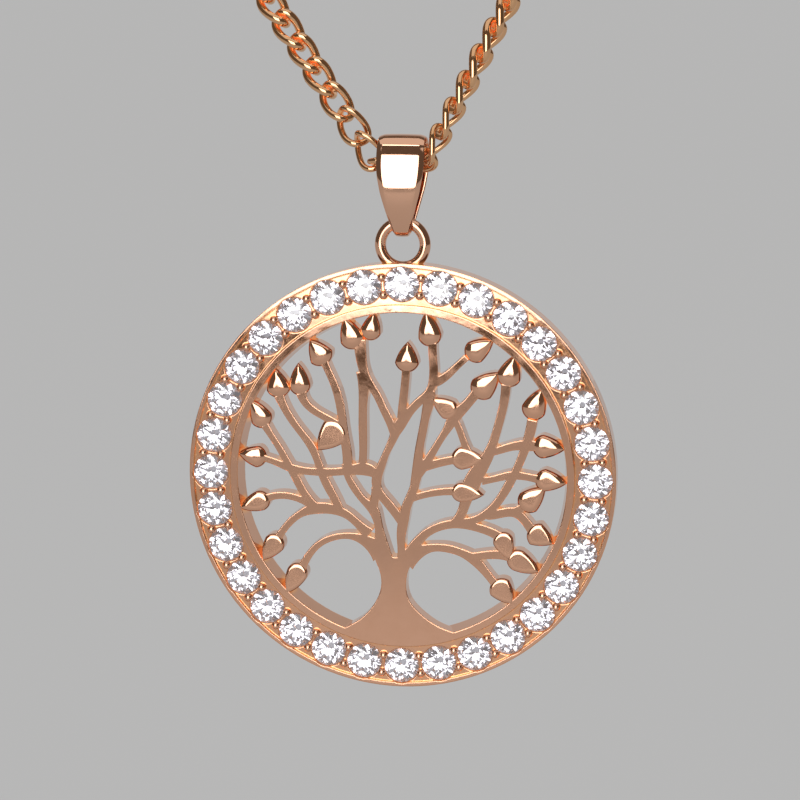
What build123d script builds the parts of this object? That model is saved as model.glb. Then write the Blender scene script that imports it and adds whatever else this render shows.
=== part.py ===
from build123d import *
import os
from math import cos, radians, sin, sqrt, tan

os.makedirs("parts", exist_ok=True)

# Everything is in millimetres, +Z up, and the front faces -Y.
# The origin is at the nape, where the chain rests on the back of the neck.

# Round stones, all alike, and how deep they sit behind the front of the frame
stone_count = 32
stone_diameter = 2.5
stone_spacing = 0.225
girdle_recess = 0.3
girdle_thickness = 0.08
table_share = 0.56
crown_angle = 34.5
star_angle = 22.0
upper_girdle_angle = 41.0
pavilion_angle = 40.8
lower_girdle_angle = 42.3

# Seats drilled for the stones, and the beads that hold them
seat_gap = 0.03
seat_back_hole_diameter = 1.1
bead_diameter = 0.6
bead_lift = 0.22
bead_gap = 0.035

# Frame: an inner rail, a sunken bed for the stones and an outer lip
frame_depth = 1.7
rim_width = 0.25
lip_width = 0.3
inner_border_width = 0.75
rail_width = 0.55
bed_recess = 0.22
inner_wall_slope = 0.25

# Tree cut out inside the frame
tree_depth = 1.4
leaf_tip_reach = 0.1
tree_root_reach = 0.3
leaf_bevel_depth = 0.28
leaf_bevel_angle = 48.0
leaf_shoulder_share = 0.3
leaf_bulge_share = 0.07

# Loop soldered on top of the frame
loop_wire = 0.8
loop_hole_diameter = 2.4
loop_rise = 0.08
loop_weld = 0.12

# Bail: a tapered band, wide over the chain and narrow through the loop
bail_height = 7.25
bail_thickness = 0.4
bail_top_width = 3.44
bail_bottom_width = 1.04
bail_straight_drop = 0.9
bail_chain_gap = 0.28
bail_wire_gap = 0.2
bail_loop_gap = 0.1
bail_eye_rise = 0.55

# Chain: one twisted link, repeated
chain_wire = 0.45
link_length = 3.19
link_waist_width = 2.19
link_end_width = 2.15
link_flat_length = 0.8
link_corner_radius = 0.62
link_twist = -45.0
link_play = 0.2
bail_link_extra_play = 0.08
left_bail_link_rise = 15.0
right_bail_link_rise = 25.0
left_roll = 30.0
right_roll = -75.0
rolling_links = 6
facing_length = 25.0
turning_length = 60.0

# Clasp and its two rings
ring_wire = 0.6
ring_diameter = 4.0
ring_gap = 0.145
clasp_space = 15.0
clasp_width = 3.2
clasp_thickness = 1.2
clasp_eye_gap = 0.35

# The lowest joint of the chain, inside the bail, and its route round the neck from left to right
chain_low_point = Vector(14.08, -81.1, -125.0)
chain_route = [
    Vector(-72.5, -46.0, -8.0),
    Vector(-36.0, 1.1, 0.0),
    Vector(0.0, 1.1, 0.0),
    Vector(36.0, 1.1, 0.0),
    Vector(72.5, -46.0, -8.0),
]
route_radius = 26.0

# The tree is drawn on a grid of twelve steps from its middle to the leaf tips.
# Trunk: its left side and its right side, each as x and z in grid steps from the root up
trunk_left = ((-5.4, -12.2), (-4.4, -11.35), (-3.0, -10.5), (-2.0, -9.4), (-1.45, -8.0), (-1.7, -6.5), (-2.4, -5.3))
trunk_right = (
    (5.4, -11.9), (4.1, -11.35), (3.0, -11.0), (1.5, -10.05), (0.55, -8.9), (0.35, -7.8), (0.6, -6.6), (1.2, -5.8),
)
trunk_crotch = (-0.55, -5.85)

# Limbs: for each station along a limb its x, z and width, in grid steps
limbs = {
    "left limb": (
        (-1.0, -6.6, 1.2), (-1.45, -4.9, 1.0), (-1.65, -3.5, 0.6), (-2.1, -2.3, 0.75),
        (-2.7, -1.75, 0.55), (-3.4, -0.85, 0.55), (-3.9, 0.1, 0.5), (-4.0, 0.9, 0.6),
    ),
    "left limb fork": ((-2.1, -2.3, 0.7), (-1.9, -1.5, 0.6), (-1.85, -0.8, 0.6)),
    "middle stem": (
        (0.0, -6.2, 0.7), (0.0, -5.0, 0.55), (0.0, -4.2, 0.65), (0.15, -3.2, 0.75),
        (0.35, -2.2, 0.7), (0.75, -1.2, 0.65), (1.05, -0.2, 0.62),
    ),
    "middle to left": (
        (0.1, -3.4, 0.6), (-0.45, -2.55, 0.65), (-1.1, -1.75, 0.65), (-1.7, -0.9, 0.65), (-1.78, -0.2, 0.7),
        (-1.45, 0.8, 0.6), (-1.15, 1.6, 0.5), (-0.8, 2.35, 0.53), (-0.45, 3.2, 0.7),
    ),
    "upper left fork": (
        (-0.5, 3.1, 0.6), (-0.85, 4.1, 0.6), (-1.3, 5.0, 0.57), (-1.75, 5.95, 0.57),
        (-2.35, 6.9, 0.6), (-2.75, 7.9, 0.7), (-2.9, 8.8, 0.8), (-3.0, 9.9, 0.9),
    ),
    "upper right fork": (
        (-0.5, 3.1, 0.6), (0.0, 4.0, 0.85), (0.6, 4.8, 0.65), (1.3, 5.55, 0.6),
        (2.0, 6.3, 0.55), (2.3, 7.2, 0.62), (2.3, 8.4, 0.6), (2.25, 9.8, 0.6),
    ),
    "upper right stem": ((2.3, 6.9, 0.7), (3.2, 7.4, 0.6), (4.0, 8.15, 0.5), (4.7, 8.8, 0.5)),
    "middle leaf stem": ((0.0, 4.2, 0.6), (0.12, 5.4, 0.6), (0.25, 6.6, 0.58), (0.35, 7.9, 0.58)),
    "left upright": (
        (-2.85, 0.5, 0.6), (-2.75, 1.8, 0.55), (-2.77, 3.5, 0.6), (-2.75, 5.4, 0.62),
        (-2.7, 6.4, 0.75), (-2.85, 7.6, 0.8),
    ),
    "left cross": (
        (-1.9, 0.3, 0.75), (-3.0, 0.55, 0.9), (-4.2, 0.35, 0.6), (-5.4, 0.25, 0.58),
        (-6.8, 0.28, 0.55), (-7.9, 0.45, 0.6), (-8.9, 0.8, 0.5), (-10.2, 1.2, 0.5),
    ),
    "left second upright": (
        (-3.9, 0.5, 0.7), (-3.9, 1.6, 0.7), (-4.15, 3.2, 0.65), (-4.3, 4.5, 0.62),
        (-4.5, 5.6, 0.6), (-4.85, 6.7, 0.55), (-5.3, 7.7, 0.52), (-5.6, 8.4, 0.6),
    ),
    "left diagonal": (
        (-4.4, -2.6, 0.6), (-4.75, -1.8, 0.6), (-5.25, -0.9, 0.64), (-5.75, 0.2, 0.6), (-6.1, 1.2, 0.55),
        (-6.5, 2.1, 0.6), (-7.2, 3.05, 0.53), (-7.95, 4.05, 0.55), (-8.5, 5.0, 0.6), (-8.85, 5.8, 0.75),
    ),
    "left outer diagonal": (
        (-6.2, -2.35, 0.7), (-6.85, -1.6, 0.6), (-7.35, -0.8, 0.6), (-7.8, 0.1, 0.6),
        (-8.2, 0.8, 0.55), (-8.75, 1.8, 0.5), (-9.4, 2.8, 0.48), (-9.9, 3.6, 0.6),
    ),
    "left leaf fork": ((-4.6, 3.7, 0.6), (-5.6, 4.3, 0.52), (-6.5, 4.85, 0.55), (-7.0, 5.4, 0.6), (-7.2, 6.0, 0.8)),
    "left middle limb": (
        (-2.3, -4.2, 0.9), (-3.0, -3.6, 0.65), (-3.9, -2.85, 0.62), (-5.0, -2.45, 0.75), (-6.3, -2.45, 0.8),
        (-7.3, -2.85, 0.55), (-8.1, -3.5, 0.52), (-8.7, -4.25, 0.52), (-9.1, -4.9, 0.6),
    ),
    "left middle stem": ((-6.2, -2.4, 0.6), (-7.2, -1.85, 0.5), (-8.2, -1.57, 0.5), (-9.2, -1.6, 0.52), (-10.0, -1.9, 0.6)),
    "left low limb": (
        (-1.5, -5.6, 1.6), (-2.5, -4.75, 0.9), (-3.6, -4.4, 0.5), (-4.8, -4.5, 0.45),
        (-5.9, -5.0, 0.48), (-6.7, -5.85, 0.52), (-7.25, -6.9, 0.6),
    ),
    "right upright": (
        (0.95, -0.5, 0.6), (1.2, 0.9, 0.75), (1.3, 2.1, 0.6), (1.52, 3.3, 0.6),
        (1.75, 4.5, 0.62), (2.0, 5.6, 0.8), (2.15, 6.4, 0.6),
    ),
    "right second limb": (
        (1.2, 0.2, 0.6), (1.8, 1.1, 0.65), (2.3, 1.95, 0.55), (2.8, 2.8, 0.52), (3.3, 3.6, 0.6),
        (3.9, 4.6, 0.9), (4.5, 5.2, 0.75), (5.1, 5.9, 0.7), (5.5, 6.4, 0.8),
    ),
    "right inner stem": ((1.6, 0.75, 0.6), (2.6, 1.1, 0.62), (3.4, 1.3, 0.6), (4.2, 1.45, 0.6)),
    "right lower stem": ((0.6, -1.6, 0.5), (1.4, -1.3, 0.5), (2.4, -1.05, 0.52), (3.4, -0.93, 0.55), (4.2, -0.95, 0.6)),
    "right inner link": ((3.6, 4.6, 0.5), (4.1, 3.8, 0.5), (4.4, 3.0, 0.5), (4.7, 2.2, 0.55), (5.2, 1.3, 0.6)),
    "right limb": (
        (0.5, -5.7, 0.9), (1.1, -4.8, 0.75), (1.8, -4.05, 0.62), (2.7, -3.55, 0.6), (3.8, -3.3, 0.62),
        (5.0, -3.4, 0.6), (6.0, -3.65, 0.62), (7.0, -4.1, 0.7), (7.6, -4.9, 1.0),
    ),
    "right upper limb": (
        (3.7, -3.3, 0.6), (4.3, -2.6, 0.7), (4.65, -1.6, 0.8), (5.0, -0.5, 1.2), (5.6, 0.7, 1.1),
        (6.2, 1.7, 0.85), (6.6, 2.7, 0.65), (6.95, 3.9, 0.62), (7.3, 5.3, 0.62), (7.5, 6.9, 0.7),
    ),
    "right outer limb": (
        (4.4, -3.1, 0.5), (5.3, -2.95, 0.55), (6.3, -2.35, 0.62), (7.1, -1.4, 0.6), (7.75, -0.3, 0.65),
        (8.25, 0.7, 0.6), (8.7, 1.8, 0.62), (9.1, 3.0, 0.7), (9.4, 4.4, 0.75),
    ),
    "right cross": ((5.8, -0.1, 0.6), (6.8, 0.1, 0.5), (7.9, 0.35, 0.6), (8.9, 0.3, 0.55), (9.9, 0.1, 0.6)),
    "right high cross": ((6.4, 1.95, 0.5), (7.3, 2.25, 0.58), (8.2, 2.5, 0.65), (9.0, 2.55, 0.8), (9.8, 2.5, 0.6)),
    "right low cross": ((6.1, -2.6, 0.6), (7.2, -2.42, 0.66), (8.2, -2.35, 0.7), (8.9, -2.9, 0.65), (9.5, -3.7, 0.75)),
    "right leaf stem": ((8.0, -2.3, 0.5), (8.8, -1.95, 0.6)),
    "right low limb": (
        (0.4, -6.3, 1.2), (1.2, -5.45, 1.0), (2.2, -5.1, 0.6), (3.3, -5.1, 0.58),
        (4.4, -5.4, 0.6), (5.3, -5.9, 0.75), (6.1, -6.75, 0.6), (6.9, -7.7, 0.65),
    ),
    "right low link": ((5.0, -5.65, 0.5), (6.0, -5.52, 0.6), (7.0, -5.45, 0.65), (8.0, -5.6, 0.8)),
}

# Leaves: base x and z, tip x and z, and width, in grid steps
leaves = {
    "middle": (0.35, 7.6, 0.45, 9.8, 1.72),
    "top left outer": (-3.3, 9.2, -4.1, 11.5, 1.75),
    "top left inner": (-2.35, 9.85, -1.95, 11.9, 1.5),
    "upper left first": (-5.4, 8.05, -6.6, 9.85, 1.8),
    "upper left second": (-7.3, 5.75, -7.45, 8.1, 1.55),
    "upper left third": (-8.8, 5.55, -9.1, 7.7, 1.75),
    "left first": (-9.8, 3.4, -10.9, 5.4, 1.6),
    "left second": (-9.8, 1.1, -11.9, 1.45, 1.6),
    "left third": (-9.6, -1.75, -11.8, -2.6, 1.5),
    "left fourth": (-8.85, -4.55, -10.15, -6.4, 1.55),
    "left fifth": (-7.25, -6.6, -8.4, -8.8, 1.55),
    "left inner": (-4.3, 3.75, -6.1, 1.8, 2.1),
    "top right": (2.15, 9.5, 1.75, 12.0, 1.68),
    "upper right first": (4.65, 8.75, 6.6, 10.1, 1.7),
    "upper right second": (5.2, 6.0, 7.0, 7.75, 1.85),
    "upper right third": (7.45, 6.7, 8.1, 9.0, 1.75),
    "right first": (9.18, 4.4, 10.08, 6.7, 1.75),
    "right second": (9.4, 2.5, 11.8, 2.35, 1.72),
    "right third": (9.6, 0.1, 11.9, -0.15, 1.65),
    "right fourth": (8.6, -2.1, 10.35, -0.45, 1.75),
    "right fifth": (9.15, -3.6, 10.95, -4.6, 1.75),
    "right sixth": (7.7, -5.5, 10.0, -6.7, 1.6),
    "right seventh": (6.7, -7.4, 8.1, -9.1, 1.75),
    "right inner upper": (3.6, 1.45, 6.0, 1.5, 1.65),
    "right inner lower": (3.6, -0.95, 5.95, -1.15, 1.4),
    "right inner high": (3.9, 4.6, 2.2, 5.8, 1.5),
    "right inner low": (7.1, -3.85, 7.9, -5.9, 1.5),
}

front = Vector(0, -1, 0)
up = Vector(0, 0, 1)
right = Vector(1, 0, 0)

# Radii of the frame, each worked out from the ring of stones
stone_radius = stone_diameter / 2
half_pitch = (stone_diameter + stone_spacing) / 2
half_pitch_angle = 180 / stone_count
stone_circle_radius = half_pitch / sin(radians(half_pitch_angle))
frame_outer_radius = stone_circle_radius + stone_radius + rim_width
frame_inner_radius = stone_circle_radius - stone_radius - inner_border_width
rail_outer_radius = frame_inner_radius + rail_width
bed_outer_radius = frame_outer_radius - lip_width
grid = (frame_inner_radius + leaf_tip_reach) / 12

# Chain spacing, and the heights of the bail, the loop and the pendant, each hung from the one above
link_pitch = link_length - 2 * chain_wire - link_play
bail_link_pitch = link_pitch - bail_link_extra_play
loop_hole_radius = loop_hole_diameter / 2
loop_radius = loop_hole_radius + loop_wire / 2
bail_eye_radius = (link_waist_width + chain_wire) / 2 + bail_chain_gap
bail_top_radius = bail_eye_radius + bail_thickness
bail_foot_hole_radius = loop_wire / 2 + bail_wire_gap
bail_foot_radius = bail_foot_hole_radius + bail_thickness
bail_x = chain_low_point.X
bail_y = chain_low_point.Y
bail_eye_z = chain_low_point.Z + bail_eye_rise
bail_top_z = bail_eye_z + bail_top_radius
bail_bottom_z = bail_top_z - bail_height
bail_foot_z = bail_bottom_z + bail_foot_radius
hole_edge_rise = sqrt(loop_hole_radius ** 2 - (bail_bottom_width / 2) ** 2)
loop_z = bail_bottom_z + bail_thickness + bail_loop_gap - hole_edge_rise
loop_height = frame_outer_radius + loop_rise + loop_hole_radius
pendant_centre = Vector(bail_x, bail_y - frame_depth / 2, loop_z - loop_height)
pendant_plane = Plane(origin=pendant_centre, x_dir=right, z_dir=front)


def at_depth(depth):
    return pendant_plane.offset(-depth)


def on_circle(radius, angle, depth):
    turn = radians(angle)
    return at_depth(depth).from_local_coords(Vector(radius * sin(turn), radius * cos(turn), 0))


def limb_sides(stations):
    points = [Vector(x, z) * grid for x, z, width in stations]
    left_side = []
    right_side = []
    for number, (x, z, width) in enumerate(stations):
        before = points[max(number - 1, 0)]
        after = points[min(number + 1, len(points) - 1)]
        along = (after - before).normalized()
        across = Vector(-along.Y, along.X) * (width * grid / 2)
        left_side.append(points[number] + across)
        right_side.append(points[number] - across)
    return left_side, right_side


# Stone: a round brilliant, cut from a round blank facet by facet, with its table along local +Z
half_girdle = girdle_thickness / 2
crown_height = (1 - table_share) * stone_radius * tan(radians(crown_angle))
pavilion_height = stone_radius * tan(radians(pavilion_angle))
table_edge_radius = table_share * stone_radius * cos(radians(22.5))
girdle_edge_radius = stone_radius * cos(radians(11.25))


def facets(radius, height, slope, count, first_angle, side):
    planes = []
    for number in range(count):
        turn = radians(first_angle + 360 * number / count)
        outward = Vector(cos(turn), sin(turn), 0)
        normal = outward * sin(radians(slope)) + up * (side * cos(radians(slope)))
        planes.append(Plane(origin=outward * radius + up * (side * height), z_dir=normal))
    return planes


crown_facets = (
    facets(stone_radius, half_girdle, crown_angle, 8, 0, 1)
    + facets(table_edge_radius, half_girdle + crown_height, star_angle, 8, 22.5, 1)
    + facets(girdle_edge_radius, half_girdle, upper_girdle_angle, 16, 11.25, 1)
)
pavilion_facets = (
    facets(stone_radius, half_girdle, pavilion_angle, 8, 0, -1)
    + facets(girdle_edge_radius, half_girdle, lower_girdle_angle, 16, 11.25, -1)
)

with BuildPart() as stone:
    with BuildSketch(Plane.XY.offset(half_girdle + crown_height)):
        RegularPolygon(radius=stone_radius, side_count=32)
    extrude(amount=-(girdle_thickness + crown_height + pavilion_height))
    for facet in crown_facets + pavilion_facets:
        split(bisect_by=facet, keep=Keep.BOTTOM)

# Stone places, evenly round the frame, the first at the top
girdle_depth = girdle_recess + half_girdle
stone_places = []
for number in range(stone_count):
    stone_point = on_circle(stone_circle_radius, 2 * half_pitch_angle * number, girdle_depth)
    outward = (stone_point - at_depth(girdle_depth).origin).normalized()
    stone_places.append(Plane(origin=stone_point, x_dir=outward, z_dir=front).location)

# Seat: what is drilled out for one stone, along the stone's own axis
seat_radius = stone_radius + seat_gap
seat_floor = -half_girdle - seat_gap
back_hole_radius = seat_back_hole_diameter / 2
cone_floor = seat_floor - (seat_radius - back_hole_radius) * tan(radians(lower_girdle_angle))
with BuildPart() as seat:
    with BuildSketch(Plane.XZ):
        with BuildLine():
            Polyline(
                (0, frame_depth),
                (seat_radius, frame_depth),
                (seat_radius, seat_floor),
                (back_hole_radius, cone_floor),
                (back_hole_radius, -2 * frame_depth),
                (0, -2 * frame_depth),
                close=True,
            )
        make_face()
    revolve(axis=Axis.Z)

# Loop: a wire ring, cut off where the frame's rim carries it
loop_point = pendant_centre + up * loop_height - front * (frame_depth / 2)
with BuildPart() as loop:
    with Locations(Plane(origin=loop_point, x_dir=right, z_dir=front).location):
        Torus(loop_radius, loop_wire / 2)
    with Locations(at_depth(frame_depth / 2).location):
        Cylinder(frame_outer_radius - loop_weld, 2 * frame_depth, mode=Mode.SUBTRACT)

# Tree outlines, flat: the trunk, one closed shape for each limb, and one for each leaf
left_points = [Vector(x, z) * grid for x, z in trunk_left]
right_points = [Vector(x, z) * grid for x, z in trunk_right]
crotch_point = Vector(*trunk_crotch) * grid
with BuildLine() as trunk_outline:
    Spline(*left_points)
    Line(left_points[-1], crotch_point)
    Line(crotch_point, right_points[-1])
    Spline(*reversed(right_points))
    Line(right_points[0], left_points[0])
wood_faces = [make_face(trunk_outline.line)]

for stations in limbs.values():
    left_side, right_side = limb_sides(stations)
    with BuildLine() as limb_outline:
        Spline(*left_side)
        Line(left_side[-1], right_side[-1])
        Spline(*reversed(right_side))
        Line(right_side[0], left_side[0])
    wood_faces.append(make_face(limb_outline.line))

leaf_faces = []
for base_x, base_z, tip_x, tip_z, width in leaves.values():
    base = Vector(base_x, base_z) * grid
    tip = Vector(tip_x, tip_z) * grid
    length = (tip - base).length
    along = (tip - base).normalized()
    across = Vector(-along.Y, along.X)
    widest = base + along * (leaf_shoulder_share * length)
    left_shoulder = widest + across * (width * grid / 2)
    right_shoulder = widest - across * (width * grid / 2)
    bulge = across * (leaf_bulge_share * length)
    with BuildLine() as leaf_outline:
        ThreePointArc(left_shoulder, (left_shoulder + tip) / 2 + bulge, tip)
        ThreePointArc(tip, (right_shoulder + tip) / 2 - bulge, right_shoulder)
        ThreePointArc(right_shoulder, base, left_shoulder)
    leaf_faces.append(make_face(leaf_outline.line))

leaf_fronts = []
for face in leaf_faces:
    leaf_fronts.append(
        extrude(at_depth(leaf_bevel_depth) * face, amount=leaf_bevel_depth, taper=leaf_bevel_angle)
    )

# Tree: trunk and limbs at full depth, and leaves with a bevelled front
with BuildPart() as tree:
    with BuildSketch(at_depth(tree_depth)):
        add(wood_faces)
    extrude(amount=tree_depth)
    with BuildSketch(at_depth(leaf_bevel_depth)):
        add(leaf_faces)
    extrude(amount=-(tree_depth - leaf_bevel_depth))
    add(leaf_fronts)
    with Locations(at_depth(frame_depth / 2).location):
        Cylinder(frame_inner_radius + tree_root_reach, 2 * frame_depth, mode=Mode.INTERSECT)

# Beads: a pair between every two stones, one outside and one inside, just clear of both girdles
bead_radius = bead_diameter / 2
bead_reach = stone_radius + sqrt((bead_radius + bead_gap) ** 2 - bead_lift ** 2)
bead_spread = sqrt(bead_reach ** 2 - half_pitch ** 2)
bead_circle_radius = stone_circle_radius * cos(radians(half_pitch_angle))
bead_depth = girdle_recess - bead_lift
bead_places = []
for number in range(stone_count):
    bead_angle = 2 * half_pitch_angle * (number + 0.5)
    for radius in (bead_circle_radius + bead_spread, bead_circle_radius - bead_spread):
        bead_point = on_circle(radius, bead_angle, bead_depth)
        outward = (bead_point - at_depth(bead_depth).origin).normalized()
        bead_places.append(Plane(origin=bead_point, x_dir=outward, z_dir=front).location)

# Frame: rail, bed and lip in one ring, with the tree and the loop grown into it
with BuildPart() as pendant_frame:
    with BuildSketch(Plane(origin=pendant_centre, x_dir=right, z_dir=up)):
        with BuildLine():
            Polyline(
                (frame_inner_radius, 0),
                (rail_outer_radius, 0),
                (rail_outer_radius, bed_recess),
                (bed_outer_radius, bed_recess),
                (bed_outer_radius, 0),
                (frame_outer_radius, 0),
                (frame_outer_radius, frame_depth),
                (frame_inner_radius - inner_wall_slope, frame_depth),
                close=True,
            )
        make_face()
    revolve(axis=Axis(pendant_centre, front))
    with Locations(*stone_places):
        add(seat.part, mode=Mode.SUBTRACT)
    with Locations(*bead_places):
        Sphere(bead_radius)
    add(tree.part)
    add(loop.part)

pendant_frame.part.label = "pendant_frame"
export_step(pendant_frame.part, "parts/pendant_frame.step")

for number, place in enumerate(stone_places, 1):
    with BuildPart() as set_stone:
        with Locations(place):
            add(stone.part)
    set_stone.part.label = f"stone_{number:02d}"
    export_step(set_stone.part, f"parts/stone_{number:02d}.step")

# Bail: seen from the side a drop-shaped band, round the chain above and the loop's wire below
bail_sides = (
    (bail_top_radius, bail_foot_radius, Mode.ADD),
    (bail_eye_radius, bail_foot_hole_radius, Mode.SUBTRACT),
)
with BuildPart() as bail:
    with BuildSketch(Plane(origin=(bail_x, bail_y, 0), x_dir=(0, 1, 0), z_dir=right)):
        for top_radius, foot_radius, mode in bail_sides:
            slope = (top_radius - foot_radius) / (bail_eye_z - bail_foot_z)
            reach = sqrt(1 - slope ** 2)
            top_tangent = Vector(top_radius * reach, bail_eye_z - top_radius * slope)
            foot_tangent = Vector(foot_radius * reach, bail_foot_z - foot_radius * slope)
            top_mirror = Vector(-top_tangent.X, top_tangent.Y)
            foot_mirror = Vector(-foot_tangent.X, foot_tangent.Y)
            with BuildLine():
                ThreePointArc(top_mirror, (0, bail_eye_z + top_radius), top_tangent)
                Line(top_tangent, foot_tangent)
                ThreePointArc(foot_tangent, (0, bail_foot_z - foot_radius), foot_mirror)
                Line(foot_mirror, top_mirror)
            make_face(mode=mode)
    extrude(amount=bail_top_width / 2, both=True)
    with BuildSketch(Plane(origin=(bail_x, bail_y, 0), x_dir=right, z_dir=front)):
        with BuildLine():
            Polyline(
                (-bail_top_width / 2, bail_top_z + bail_thickness),
                (-bail_top_width / 2, bail_top_z - bail_straight_drop),
                (-bail_bottom_width / 2, bail_bottom_z + bail_thickness),
                (-bail_bottom_width / 2, bail_bottom_z - bail_thickness),
                (bail_bottom_width / 2, bail_bottom_z - bail_thickness),
                (bail_bottom_width / 2, bail_bottom_z + bail_thickness),
                (bail_top_width / 2, bail_top_z - bail_straight_drop),
                (bail_top_width / 2, bail_top_z + bail_thickness),
                close=True,
            )
        make_face()
    extrude(amount=2 * bail_top_radius, both=True, mode=Mode.INTERSECT)

bail.part.label = "bail"
export_step(bail.part, "parts/bail.step")

# Link: a wire bent into an oval whose two ends are twisted against each other, lying along local X
link_reach = (link_length - chain_wire) / 2
link_waist = (link_waist_width - chain_wire) / 2
link_end = (link_end_width - chain_wire) / 2
link_end_y = link_end * cos(radians(link_twist))
link_end_z = link_end * sin(radians(link_twist))
flat_reach = link_flat_length / 2
flat_rise = flat_reach * link_end_z / link_reach
with BuildPart() as half_link:
    with BuildLine() as half_path:
        FilletPolyline(
            (0, link_waist, 0),
            (flat_reach, link_waist, flat_rise),
            (link_reach, link_end_y, link_end_z),
            (link_reach, -link_end_y, -link_end_z),
            (flat_reach, -link_waist, -flat_rise),
            (0, -link_waist, 0),
            radius=link_corner_radius,
        )
    with BuildSketch(Plane(origin=half_path.line @ 0, z_dir=half_path.line % 0)):
        Circle(chain_wire / 2)
    sweep(path=half_path.line)

with BuildPart() as link:
    with PolarLocations(0, 2):
        add(half_link.part)


# Joints: where one link hangs in the next, spaced evenly up each side from the bail to the clasp
def side_joints(side, rise, points):
    turn = radians(rise)
    start = chain_low_point + (right * (side * cos(turn)) + up * sin(turn)) * bail_link_pitch
    with BuildLine() as route:
        FilletPolyline(start, *points, radius=route_radius)
    path = route.wire()
    count = int((path.length - clasp_space / 2) / link_pitch)
    return [path.position_at(number * link_pitch / path.length) for number in range(count + 1)]


left_joints = side_joints(-1, left_bail_link_rise, chain_route[:3])
right_joints = side_joints(1, right_bail_link_rise, reversed(chain_route[2:]))
joints = list(reversed(left_joints)) + [chain_low_point] + right_joints
low_joint = len(left_joints)

# Links: nearly flat to the front on the left, rolled evenly through the bail until nearly edge-on on the
# right, and flat to the neck at the back
link_places = []
for number in range(len(joints) - 1):
    start = joints[number]
    end = joints[number + 1]
    middle = (start + end) / 2
    along = (end - start).normalized()
    distance = (middle - chain_low_point).length
    share = min(max((distance - facing_length) / turning_length, 0), 1)
    facing = front * (1 - share) + along.cross(up).normalized() * share
    facing = (facing - along * facing.dot(along)).normalized()
    rolled = min(max((number - low_joint - 1) / rolling_links + 1, 0), 1)
    roll = (left_roll + (right_roll - left_roll) * rolled) * (1 - share)
    normal = facing * cos(radians(roll)) + facing.cross(along) * sin(radians(roll))
    link_places.append(Plane(origin=middle, x_dir=along, z_dir=normal).location)

with BuildPart() as chain:
    with Locations(*link_places):
        add(link.part)

chain.part.label = "chain"
export_step(chain.part, "parts/chain.step")

# Rings: each goes through the chain's last link and an eye of the clasp
ring_radius = (ring_diameter - ring_wire) / 2
ring_hook = (chain_wire + ring_wire) / 2 + ring_gap - (link_length - chain_wire - link_pitch) / 2
left_ring_point = joints[0] + right * (ring_radius - ring_hook)
right_ring_point = joints[-1] - right * (ring_radius - ring_hook)

for name, point in (("jump_ring_left", left_ring_point), ("jump_ring_right", right_ring_point)):
    with BuildPart() as jump_ring:
        with Locations(point):
            Torus(ring_radius, ring_wire / 2)
    jump_ring.part.label = name
    export_step(jump_ring.part, f"parts/{name}.step")

# Clasp: one plain closed piece with an eye at each end
clasp_left = left_ring_point.X + ring_radius
clasp_right = right_ring_point.X - ring_radius
clasp_middle = (left_ring_point + right_ring_point) / 2
with BuildPart() as clasp:
    with BuildSketch(Plane(origin=clasp_middle, x_dir=right, z_dir=front)):
        SlotCenterToCenter(clasp_right - clasp_left, clasp_width)
        with GridLocations(clasp_right - clasp_left, 0, 2, 1):
            Circle(ring_wire / 2 + clasp_eye_gap, mode=Mode.SUBTRACT)
    extrude(amount=clasp_thickness / 2, both=True)

clasp.part.label = "clasp"
export_step(clasp.part, "parts/clasp.step")
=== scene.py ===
import math

import bpy
import numpy as np
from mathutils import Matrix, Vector


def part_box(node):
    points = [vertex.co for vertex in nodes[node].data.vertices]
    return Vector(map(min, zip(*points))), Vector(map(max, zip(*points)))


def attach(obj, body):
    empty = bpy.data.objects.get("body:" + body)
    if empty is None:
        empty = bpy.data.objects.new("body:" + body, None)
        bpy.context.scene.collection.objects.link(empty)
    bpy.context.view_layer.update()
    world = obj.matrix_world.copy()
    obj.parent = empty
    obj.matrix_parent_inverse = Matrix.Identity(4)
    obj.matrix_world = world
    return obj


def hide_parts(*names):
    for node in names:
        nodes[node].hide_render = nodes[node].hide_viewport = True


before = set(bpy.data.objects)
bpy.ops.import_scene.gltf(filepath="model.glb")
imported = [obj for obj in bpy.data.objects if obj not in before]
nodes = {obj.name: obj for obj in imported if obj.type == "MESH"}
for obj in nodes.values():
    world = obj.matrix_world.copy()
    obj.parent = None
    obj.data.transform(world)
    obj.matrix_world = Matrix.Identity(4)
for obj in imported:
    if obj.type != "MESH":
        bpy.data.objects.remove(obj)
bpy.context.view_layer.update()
MM = 0.001

# The ring's middle, from the ring's front and from two stones that face each other across it
face_inset = 0.17 * MM
ring_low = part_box("pendant_frame")[0]
first_low, first_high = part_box("stone_01")
facing_low, facing_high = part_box("stone_17")
centre = Vector((
    (first_low.x + first_high.x) / 2,
    ring_low.y + face_inset,
    (first_low.z + first_high.z + facing_low.z + facing_high.z) / 4,
))

# Camera: its place from the ring's middle, and how far above and beside that middle it aims
camera_place = Vector((31.7, -233.4, 46.3)) * MM
camera_lens = 150.93
film_width = 36
aim_rise = 5.55 * MM
aim_left = 0.077 * MM


def make_camera():
    data = bpy.data.cameras.new("camera")
    data.lens = camera_lens
    data.sensor_width = film_width
    data.clip_start = 0.01
    data.clip_end = 30
    camera = bpy.data.objects.new("camera", data)
    bpy.context.scene.collection.objects.link(camera)
    camera.location = centre + camera_place
    back = (camera.location - centre).normalized()
    across = Vector((0, 0, 1)).cross(back).normalized()
    above = back.cross(across)
    target = centre + above * aim_rise - across * aim_left
    camera.rotation_mode = "QUATERNION"
    camera.rotation_quaternion = (target - camera.location).to_track_quat("-Z", "Y")
    bpy.context.scene.camera = camera


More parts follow.
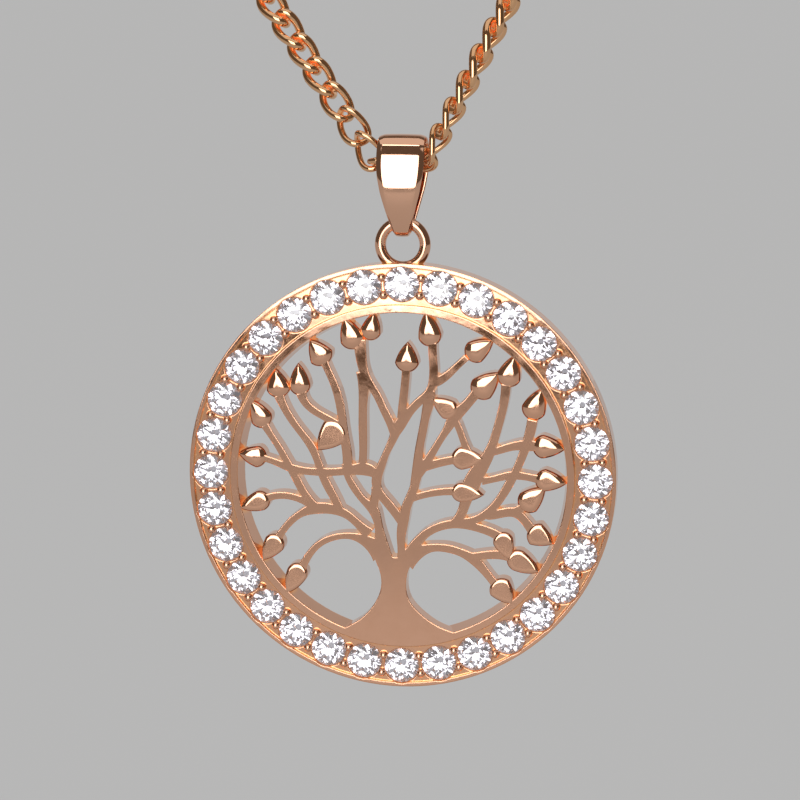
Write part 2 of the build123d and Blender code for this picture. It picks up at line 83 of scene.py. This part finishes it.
# Shader parts: a value moved from one range to another, two colours mixed by a share, and a noise
def ranged(tree, source, span, values):
    node = tree.nodes.new("ShaderNodeMapRange")
    node.inputs["From Min"].default_value = span[0]
    node.inputs["From Max"].default_value = span[1]
    node.inputs["To Min"].default_value = values[0]
    node.inputs["To Max"].default_value = values[1]
    tree.links.new(source, node.inputs["Value"])
    return node


# Sockets of a colour mix: its share, its two colours and its result
mix_share = 0
mix_first = 6
mix_second = 7
mix_result = 2


def mixed(tree, share, first, second):
    node = tree.nodes.new("ShaderNodeMix")
    node.data_type = "RGBA"
    tree.links.new(share, node.inputs[mix_share])
    for place, colour in ((mix_first, first), (mix_second, second)):
        if isinstance(colour, tuple):
            node.inputs[place].default_value = colour
        else:
            tree.links.new(colour, node.inputs[place])
    return node.outputs[mix_result]


def noise(tree, place, scale, detail):
    node = tree.nodes.new("ShaderNodeTexNoise")
    node.inputs["Scale"].default_value = scale
    node.inputs["Detail"].default_value = detail
    tree.links.new(place.outputs["Object"], node.inputs["Vector"])
    return node.outputs["Fac"]


# Room: a soft studio, dim and warm in front, pale behind and below, and plain grey where it is seen directly
back_span = (0.55, 0.93)
back_light = (0.13, 0.55)
ground_span = (-0.185, -0.155)
ground_light = (0.46, 0.0)
dim_span = (0.1, 0.4)
dim_tint = (1.0, 0.80, 0.62, 1)
white = (1.0, 1.0, 1.0, 1)
backdrop_grey = (0.46, 0.46, 0.463, 1)


def make_world():
    world = bpy.data.worlds.new("studio")
    bpy.context.scene.world = world
    world.use_nodes = True
    tree = world.node_tree
    tree.nodes.clear()
    add = tree.nodes.new
    link = tree.links.new
    place = add("ShaderNodeTexCoord")
    split = add("ShaderNodeSeparateXYZ")
    link(place.outputs["Generated"], split.inputs[0])
    behind = ranged(tree, split.outputs["Y"], back_span, back_light)
    behind.interpolation_type = "SMOOTHSTEP"
    below = ranged(tree, split.outputs["Z"], ground_span, ground_light)
    below.interpolation_type = "SMOOTHSTEP"
    brightness = add("ShaderNodeMath")
    brightness.operation = "MAXIMUM"
    link(behind.outputs["Result"], brightness.inputs[0])
    link(below.outputs["Result"], brightness.inputs[1])
    dimness = ranged(tree, brightness.outputs[0], dim_span, (0.0, 1.0))
    lit = add("ShaderNodeMix")
    lit.data_type = "RGBA"
    lit.blend_type = "MULTIPLY"
    lit.inputs[mix_share].default_value = 1.0
    link(mixed(tree, dimness.outputs["Result"], dim_tint, white), lit.inputs[mix_first])
    link(brightness.outputs[0], lit.inputs[mix_second])
    room = add("ShaderNodeBackground")
    link(lit.outputs[mix_result], room.inputs["Color"])
    plain = add("ShaderNodeBackground")
    plain.inputs["Color"].default_value = backdrop_grey
    path = add("ShaderNodeLightPath")
    choice = add("ShaderNodeMixShader")
    link(path.outputs["Is Camera Ray"], choice.inputs[0])
    link(room.outputs[0], choice.inputs[1])
    link(plain.outputs[0], choice.inputs[2])
    output = add("ShaderNodeOutputWorld")
    link(choice.outputs[0], output.inputs["Surface"])


# Light boxes: direction from the ring, distance, width, height and brightness
light_boxes = {
    "front_box": ((-0.10, -1.0, 0.312), 1.1, 0.85, 1.03, 3.6),
    "overhead_box": ((0.0, -0.1, 1.0), 1.6, 2.4, 1.8, 0.7),
}


def make_light(name, direction, distance, width, height, brightness):
    data = bpy.data.lights.new(name, "AREA")
    data.shape = "RECTANGLE"
    data.size = width
    data.size_y = height
    data.energy = brightness * math.pi * width * height
    light = bpy.data.objects.new(name, data)
    bpy.context.scene.collection.objects.link(light)
    toward = Vector(direction).normalized()
    light.location = centre + toward * distance
    light.rotation_mode = "QUATERNION"
    light.rotation_quaternion = (-toward).to_track_quat("-Z", "Y")
    light.visible_camera = False


# Floor: its drop below the ring, and its reach to the sides, forward and back
floor_drop = 0.26
floor_side = 6
floor_front = -1.73
floor_back = 9
floor_grey = (0.07, 0.07, 0.07, 1)
floor_glow = 0.435
floor_roughness = 0.9


def make_floor():
    low = ring_low.z - floor_drop
    corners = [
        (-floor_side, floor_front, low),
        (floor_side, floor_front, low),
        (floor_side, floor_back, low),
        (-floor_side, floor_back, low),
    ]
    mesh = bpy.data.meshes.new("floor")
    mesh.from_pydata(corners, [], [(0, 1, 2, 3)])
    floor = bpy.data.objects.new("floor", mesh)
    bpy.context.scene.collection.objects.link(floor)
    material = bpy.data.materials.new("floor")
    material.use_nodes = True
    shader = material.node_tree.nodes["Principled BSDF"]
    shader.inputs["Base Color"].default_value = floor_grey
    shader.inputs["Emission Color"].default_value = white
    shader.inputs["Emission Strength"].default_value = floor_glow
    shader.inputs["Roughness"].default_value = floor_roughness
    mesh.materials.append(material)


# Metal: polished rose gold, slightly wavy from casting, with a painted orange reflection and a painted orange
# glow in its creases, and painted dark orange shade along its rounded edges
wear_scale = 900
wear_detail = 4
wear_span = (0.35, 0.7)
wear_roughness = 0.06
# Painted orange reflection in the creases: its span of occlusion and the orange the metal takes where it is
# shut in
painted_crease_reflection_span = (0.35, 0.85)
painted_crease_reflection_tint = (0.96, 0.45, 0.17, 1)
# Painted glow in the creases: its span of occlusion, its colour and its strength
painted_crease_glow_span = (0.2, 0.75)
painted_crease_glow_tint = (1.0, 0.46, 0.18, 1)
painted_crease_glow_strength = 0.16
wave_detail = 2
# Painted dark orange shade along the rounded edges: its span of edge turn and its colour
painted_edge_shade_span = (0.80, 0.97)
painted_edge_shade_tint = (0.86, 0.36, 0.12, 1)


def metal(name, light_tint, deep_tint, roughness, crease_size, wave_height, wave_size, edge_radius=0):
    material = bpy.data.materials.new(name)
    material.use_nodes = True
    tree = material.node_tree
    add = tree.nodes.new
    link = tree.links.new
    shader = tree.nodes["Principled BSDF"]
    shader.inputs["Metallic"].default_value = 1.0
    place = add("ShaderNodeTexCoord")
    wear = noise(tree, place, wear_scale, wear_detail)
    rough = ranged(tree, wear, wear_span, (roughness, roughness + wear_roughness))
    link(rough.outputs["Result"], shader.inputs["Roughness"])

    # Painted orange reflection: the colour turns orange where the metal is shut in
    crease = add("ShaderNodeAmbientOcclusion")
    crease.samples = 8
    crease.inputs["Distance"].default_value = crease_size
    openness = ranged(tree, crease.outputs["AO"], painted_crease_reflection_span, (0.0, 1.0))
    colour = mixed(tree, openness.outputs["Result"], painted_crease_reflection_tint, mixed(tree, wear, light_tint, deep_tint))
    # Painted glow: faint orange light given off where the metal is shut in
    painted_crease_glow = ranged(tree, crease.outputs["AO"], painted_crease_glow_span, (painted_crease_glow_strength, 0.0))
    link(painted_crease_glow.outputs["Result"], shader.inputs["Emission Strength"])
    shader.inputs["Emission Color"].default_value = painted_crease_glow_tint

    bump = add("ShaderNodeBump")
    bump.inputs["Strength"].default_value = 1.0
    bump.inputs["Distance"].default_value = wave_height
    link(noise(tree, place, 1 / wave_size, wave_detail), bump.inputs["Height"])
    link(bump.outputs[0], shader.inputs["Normal"])
    if edge_radius:
        bevel = add("ShaderNodeBevel")
        bevel.samples = 6
        bevel.inputs["Radius"].default_value = edge_radius
        link(bevel.outputs[0], bump.inputs["Normal"])
        # Painted dark orange shade where the rounded edge normal turns away from the flat face
        face = add("ShaderNodeNewGeometry")
        turned = add("ShaderNodeVectorMath")
        turned.operation = "DOT_PRODUCT"
        link(bevel.outputs[0], turned.inputs[0])
        link(face.outputs["Normal"], turned.inputs[1])
        flatness = ranged(tree, turned.outputs["Value"], painted_edge_shade_span, (0.0, 1.0))
        colour = mixed(tree, flatness.outputs["Result"], painted_edge_shade_tint, colour)
    link(colour, shader.inputs["Base Color"])
    return material


# Stones: clear, highly refractive, with a faint painted glow
crystal_tint = (0.53, 0.515, 0.56, 1)
# Painted glow on the stones: its colour and its strength
painted_crystal_glow_tint = (0.96, 0.93, 1.0, 1)
painted_crystal_glow = 0.04
crystal_index = 2.16


def crystal():
    material = bpy.data.materials.new("clear_crystal")
    material.use_nodes = True
    shader = material.node_tree.nodes["Principled BSDF"]
    shader.inputs["Base Color"].default_value = crystal_tint
    # Painted glow: faint light the stones give off
    shader.inputs["Emission Color"].default_value = painted_crystal_glow_tint
    shader.inputs["Emission Strength"].default_value = painted_crystal_glow
    shader.inputs["Roughness"].default_value = 0.0
    shader.inputs["IOR"].default_value = crystal_index
    shader.inputs["Transmission Weight"].default_value = 1.0
    return material


# Pieces: the faces between rings of points, and a smooth metal piece that rides on a body
def ring_faces(ring_count, point_count, closed):
    faces = []
    for ring in range(ring_count if closed else ring_count - 1):
        low = ring * point_count
        high = (ring + 1) % ring_count * point_count
        for point in range(point_count):
            beside = (point + 1) % point_count
            faces.append((low + point, low + beside, high + beside, high + point))
    return faces


def add_piece(name, vertices, faces, body, material):
    mesh = bpy.data.meshes.new(name)
    mesh.from_pydata(vertices, [], faces)
    mesh.shade_smooth()
    mesh.materials.append(material)
    piece = bpy.data.objects.new(name, mesh)
    bpy.context.scene.collection.objects.link(piece)
    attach(piece, body)
    return piece


# Chain: each link is an oval wire twisted end against end
link_count = 208
link_stations = 60
wire_sides = 12
link_fullness = 0.65
# The twist at a link's ends, its half length, half width and wire, at the bail, in view and at the back
link_at_bail = np.array((math.radians(45), 1.38 * MM, 0.90 * MM, 0.45 * MM))
link_in_view = np.array((math.radians(60), 1.45 * MM, 0.74 * MM, 0.62 * MM))
link_at_back = np.array((math.radians(44), 1.45 * MM, 0.80 * MM, 0.47 * MM))
# How far from the bail's eye the first two kinds of link reach, and over what length each turns into the next
bail_eye_drop = 2.5 * MM
bail_reach = 3.3 * MM
bail_easing = 6.3 * MM
view_reach = 45 * MM
view_easing = 15 * MM


def link_shape(end_twist, half_length, half_width, wire):
    turn = np.linspace(0, 2 * np.pi, link_stations, endpoint=False)
    along = half_length * np.sign(np.cos(turn)) * np.abs(np.cos(turn)) ** link_fullness
    across = half_width * np.sign(np.sin(turn)) * np.abs(np.sin(turn)) ** link_fullness
    twist = -end_twist * along / half_length
    path = np.stack([along, across * np.cos(twist), across * np.sin(twist)], 1)
    run = np.roll(path, -1, 0) - np.roll(path, 1, 0)
    run /= np.linalg.norm(run, axis=1, keepdims=True)
    side = np.cross(run, (0.0, 0.0, 1.0))
    side /= np.linalg.norm(side, axis=1, keepdims=True)
    lift = np.cross(run, side)
    angle = np.linspace(0, 2 * np.pi, wire_sides, endpoint=False)
    rim = side[:, None] * np.cos(angle)[None, :, None] + lift[:, None] * np.sin(angle)[None, :, None]
    return (path[:, None] + rim * (wire / 2)).reshape(-1, 3)


# Each solid link's middle and its three directions: along it, across it, and through its flat side
def link_places():
    mesh = nodes["chain"].data
    points = np.zeros(len(mesh.vertices) * 3)
    mesh.vertices.foreach_get("co", points)
    places = []
    for link in points.reshape(link_count, -1, 3):
        middle = link.mean(0)
        axes = np.linalg.eigh(np.cov((link - middle).T))[1]
        along = axes[:, 2]
        flat = axes[:, 0]
        places.append((middle, np.stack([along, np.cross(flat, along), flat])))
    return places


def make_chain(name, places, material):
    low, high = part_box("bail")
    eye = np.array(((low.x + high.x) / 2, (low.y + high.y) / 2, high.z - bail_eye_drop))
    links = []
    for middle, directions in places:
        distance = np.linalg.norm(middle - eye)
        viewed = min(max((distance - bail_reach) / bail_easing, 0.0), 1.0)
        hidden = min(max((distance - view_reach) / view_easing, 0.0), 1.0)
        sizes = link_at_bail + (link_in_view - link_at_bail) * viewed
        sizes += (link_at_back - link_in_view) * hidden
        links.append(middle + link_shape(*sizes) @ directions)
    vertices = np.concatenate(links)
    faces = np.array(ring_faces(link_stations, wire_sides, True))
    faces = np.concatenate([faces + number * len(links[0]) for number in range(len(links))])
    piece = add_piece(name, vertices.tolist(), faces.tolist(), "chain", material)
    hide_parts("chain")


# A smooth closed curve through a few points
def closed_curve(points, steps):
    start = np.array(points)[:, None]
    before = np.roll(start, 1, 0)
    end = np.roll(start, -1, 0)
    beyond = np.roll(start, -2, 0)
    start_run = (end - before) / 2
    end_run = (beyond - start) / 2
    share = np.linspace(0, 1, steps, endpoint=False)[None, :, None]
    curve = (
        start * (2 * share**3 - 3 * share**2 + 1)
        + end * (3 * share**2 - 2 * share**3)
        + start_run * (share**3 - 2 * share**2 + share)
        + end_run * (share**3 - share**2)
    )
    return curve.reshape(-1, 2)


# Bail, in millimetres: its side view as forward reach and drop from the top
bail_side = (
    (0.0, 0.0), (0.45, 0.06), (0.88, 0.27), (1.16, 0.56), (1.26, 0.76),
    (1.55, 1.32), (1.77, 1.95), (1.9, 2.6), (1.95, 3.3), (1.93, 4.0),
    (1.82, 4.8), (1.58, 5.6), (1.22, 6.35), (0.8, 6.95), (0.3, 7.22),
    (-0.3, 7.22), (-0.8, 6.95), (-1.12, 6.2), (-1.4, 5.2), (-1.68, 4.1),
    (-1.88, 3.0), (-1.95, 2.0), (-1.75, 1.1), (-1.2, 0.4), (-0.5, 0.06),
)
bail_steps = 5
bail_smoothing = 2
# Bail widths: drop from the top, and the full width there
bail_widths = (
    (0.0, 3.34), (0.9, 3.44), (2.0, 3.42), (2.8, 3.28),
    (4.0, 2.84), (5.4, 2.1), (6.6, 1.45), (7.3, 1.04),
)
# Bail section: share of the half width, and depth below the outer face
bail_section = (
    (0.0, -0.03), (0.45, -0.015), (0.74, 0.0), (0.8, 0.02), (0.94, 0.1),
    (1.0, 0.15), (0.98, 0.22), (0.9, 0.25), (0.5, 0.25), (0.0, 0.25),
)


def make_bail(material):
    low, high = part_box("bail")
    middle_x = (low.x + high.x) / 2
    middle_y = (low.y + high.y) / 2
    side = closed_curve(bail_side, bail_steps)
    run = np.roll(side, -1, 0) - np.roll(side, 1, 0)
    run /= np.linalg.norm(run, axis=1, keepdims=True)
    width_drops, widths = zip(*bail_widths)
    section = bail_section + tuple((-share, depth) for share, depth in reversed(bail_section[1:-1]))
    vertices = []
    for (reach, drop), (run_forward, run_down) in zip(side, run):
        half_width = np.interp(drop, width_drops, widths) / 2
        for share, depth in section:
            vertices.append((
                middle_x + share * half_width * MM,
                middle_y - (reach - run_down * depth) * MM,
                high.z - (drop + run_forward * depth) * MM,
            ))
    piece = add_piece("bail_band", vertices, ring_faces(len(side), len(section), True), "bail", material)
    smooth = piece.modifiers.new("smooth", "SUBSURF")
    smooth.levels = bail_smoothing
    smooth.render_levels = bail_smoothing
    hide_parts("bail")


# Leaves, in millimetres from the ring's middle: base x and z, tip x and z, width, and fullness, 1 for a dome
leaves = (
    (0.35, 7.6, 0.45, 9.8, 1.72, 1.0),
    (-3.3, 9.2, -4.1, 11.5, 1.75, 1.0),
    (-2.35, 9.85, -1.95, 11.9, 1.5, 1.0),
    (-5.4, 8.05, -6.6, 9.85, 1.8, 1.0),
    (-7.3, 5.75, -7.45, 8.1, 1.55, 1.0),
    (-8.8, 5.55, -9.1, 7.7, 1.75, 1.0),
    (-9.8, 3.4, -10.9, 5.4, 1.6, 1.0),
    (-9.8, 1.1, -11.9, 1.45, 1.6, 1.0),
    (-9.6, -1.75, -11.8, -2.6, 1.5, 0.6),
    (-8.85, -4.55, -10.15, -6.4, 1.55, 0.1),
    (-7.25, -6.6, -8.4, -8.8, 1.55, 0.0),
    (-4.3, 3.75, -6.1, 1.8, 2.1, 0.0),
    (2.15, 9.5, 1.75, 12.0, 1.68, 1.0),
    (4.65, 8.75, 6.6, 10.1, 1.7, 1.0),
    (5.2, 6.0, 7.0, 7.75, 1.85, 1.0),
    (7.45, 6.7, 8.1, 9.0, 1.75, 1.0),
    (9.18, 4.4, 10.08, 6.7, 1.75, 1.0),
    (9.4, 2.5, 11.8, 2.35, 1.72, 1.0),
    (9.6, 0.1, 11.9, -0.15, 1.65, 0.8),
    (8.6, -2.1, 10.35, -0.45, 1.75, 0.8),
    (9.15, -3.6, 10.95, -4.6, 1.75, 0.2),
    (7.7, -5.5, 10.0, -6.7, 1.6, 0.1),
    (6.7, -7.4, 8.1, -9.1, 1.75, 0.0),
    (3.6, 1.45, 6.0, 1.5, 1.65, 0.0),
    (3.6, -0.95, 5.95, -1.15, 1.4, 0.0),
    (3.9, 4.6, 2.2, 5.8, 1.5, 0.2),
    (7.1, -3.85, 7.9, -5.9, 1.5, 0.0),
)
leaf_widest_share = 0.3
leaf_bulge_share = 0.07
leaf_summit_share = 0.4
leaf_overlap = 1.012
leaf_rings = 14
leaf_side_steps = 16
leaf_base_steps = 20
# Depths behind the ring's middle, and how high and how round a flat and a full leaf front is
leaf_foot_depth = 0.42
leaf_rim_depth = 0.3
flat_rise = 0.31
full_rise = 0.42
flat_power = 12
full_power = 2.6


# Points along the circle through three points, from the first up to the last
def arc(start, middle, end, steps):
    (ax, az), (bx, bz), (cx, cz) = start, middle, end
    turn = 2 * (ax * (bz - cz) + bx * (cz - az) + cx * (az - bz))
    hub_x = ((ax**2 + az**2) * (bz - cz) + (bx**2 + bz**2) * (cz - az) + (cx**2 + cz**2) * (az - bz)) / turn
    hub_z = ((ax**2 + az**2) * (cx - bx) + (bx**2 + bz**2) * (ax - cx) + (cx**2 + cz**2) * (bx - ax)) / turn
    hub = np.array((hub_x, hub_z))
    radius = np.linalg.norm(np.array(start) - hub)
    angles = [math.atan2(point[1] - hub_z, point[0] - hub_x) for point in (start, middle, end)]
    first = (angles[1] - angles[0] + math.pi) % (2 * math.pi) - math.pi
    second = (angles[2] - angles[1] + math.pi) % (2 * math.pi) - math.pi
    sweep = angles[0] + np.linspace(0, 1, steps, endpoint=False) * (first + second)
    return hub + radius * np.stack([np.cos(sweep), np.sin(sweep)], 1)


def leaf_outline(base, tip, width):
    length = np.linalg.norm(tip - base)
    along = (tip - base) / length
    across = np.array((-along[1], along[0]))
    widest = base + along * (leaf_widest_share * length)
    left = widest + across * (width / 2)
    right = widest - across * (width / 2)
    bulge = across * (leaf_bulge_share * length)
    return np.concatenate([
        arc(left, (left + tip) / 2 + bulge, tip, leaf_side_steps),
        arc(tip, (right + tip) / 2 - bulge, right, leaf_side_steps),
        arc(right, base, left, leaf_base_steps),
    ])


# The rings of a leaf front, from its foot up, as a share of the outline and a depth
def leaf_profile(fullness):
    rise = flat_rise + (full_rise - flat_rise) * fullness
    power = flat_power + (full_power - flat_power) * fullness
    profile = [(leaf_overlap, leaf_foot_depth)]
    for number in range(leaf_rings):
        share = math.cos(math.pi / 2 * number / leaf_rings)
        profile.append((share * leaf_overlap, leaf_rim_depth - rise * math.sqrt(1 - share**power)))
    return profile, leaf_rim_depth - rise


def make_leaves(material):
    vertices = []
    faces = []
    for base_x, base_z, tip_x, tip_z, width, fullness in leaves:
        base = np.array((base_x, base_z))
        tip = np.array((tip_x, tip_z))
        outline = leaf_outline(base, tip, width)
        summit = base + (tip - base) * leaf_summit_share
        profile, summit_depth = leaf_profile(fullness)
        first = len(vertices)
        for share, depth in profile:
            for x, z in summit + (outline - summit) * share:
                vertices.append((centre.x + x * MM, centre.y + depth * MM, centre.z + z * MM))
        last = len(vertices) - len(outline)
        top = len(vertices)
        vertices.append((centre.x + summit[0] * MM, centre.y + summit_depth * MM, centre.z + summit[1] * MM))
        for face in ring_faces(len(profile), len(outline), False):
            faces.append(tuple(first + corner for corner in face))
        for point in range(len(outline)):
            faces.append((last + point, last + (point + 1) % len(outline), top))
    add_piece("leaf_fronts", vertices, faces, "pendant", material)


# The whole scene
make_camera()
make_world()
make_floor()
for name, light_box in light_boxes.items():
    make_light(name, *light_box)

cast_metal = metal(
    "rose_gold_cast",
    light_tint=(0.80, 0.46, 0.31, 1),
    deep_tint=(0.76, 0.42, 0.27, 1),
    roughness=0.03,
    crease_size=0.5 * MM,
    wave_height=0.002 * MM,
    wave_size=1.1 * MM,
    edge_radius=0.12 * MM,
)
leaf_metal = metal(
    "rose_gold_leaf",
    light_tint=(0.80, 0.46, 0.31, 1),
    deep_tint=(0.76, 0.42, 0.27, 1),
    roughness=0.07,
    crease_size=0.4 * MM,
    wave_height=0.003 * MM,
    wave_size=0.5 * MM,
)
bail_metal = metal(
    "rose_gold_bail",
    light_tint=(0.80, 0.47, 0.32, 1),
    deep_tint=(0.77, 0.44, 0.29, 1),
    roughness=0.04,
    crease_size=0.4 * MM,
    wave_height=0.002 * MM,
    wave_size=1.5 * MM,
)
wire_metal = metal(
    "rose_gold_wire",
    light_tint=(0.80, 0.48, 0.27, 1),
    deep_tint=(0.76, 0.43, 0.22, 1),
    roughness=0.06,
    crease_size=0.5 * MM,
    wave_height=0.003 * MM,
    wave_size=0.6 * MM,
)
clear_crystal = crystal()
for name, node in nodes.items():
    materials = node.data.materials
    materials.clear()
    if name.startswith("stone_"):
        materials.append(clear_crystal)
    elif name == "chain" or name.startswith("jump_ring"):
        materials.append(wire_metal)
    else:
        materials.append(cast_metal)

places = link_places()
make_chain("chain_left", places[:link_count // 2], wire_metal)
make_chain("chain_right", places[link_count // 2:], wire_metal)
make_bail(bail_metal)
make_leaves(leaf_metal)

view = bpy.context.scene.view_settings
view.view_transform = "Standard"
view.look = "None"
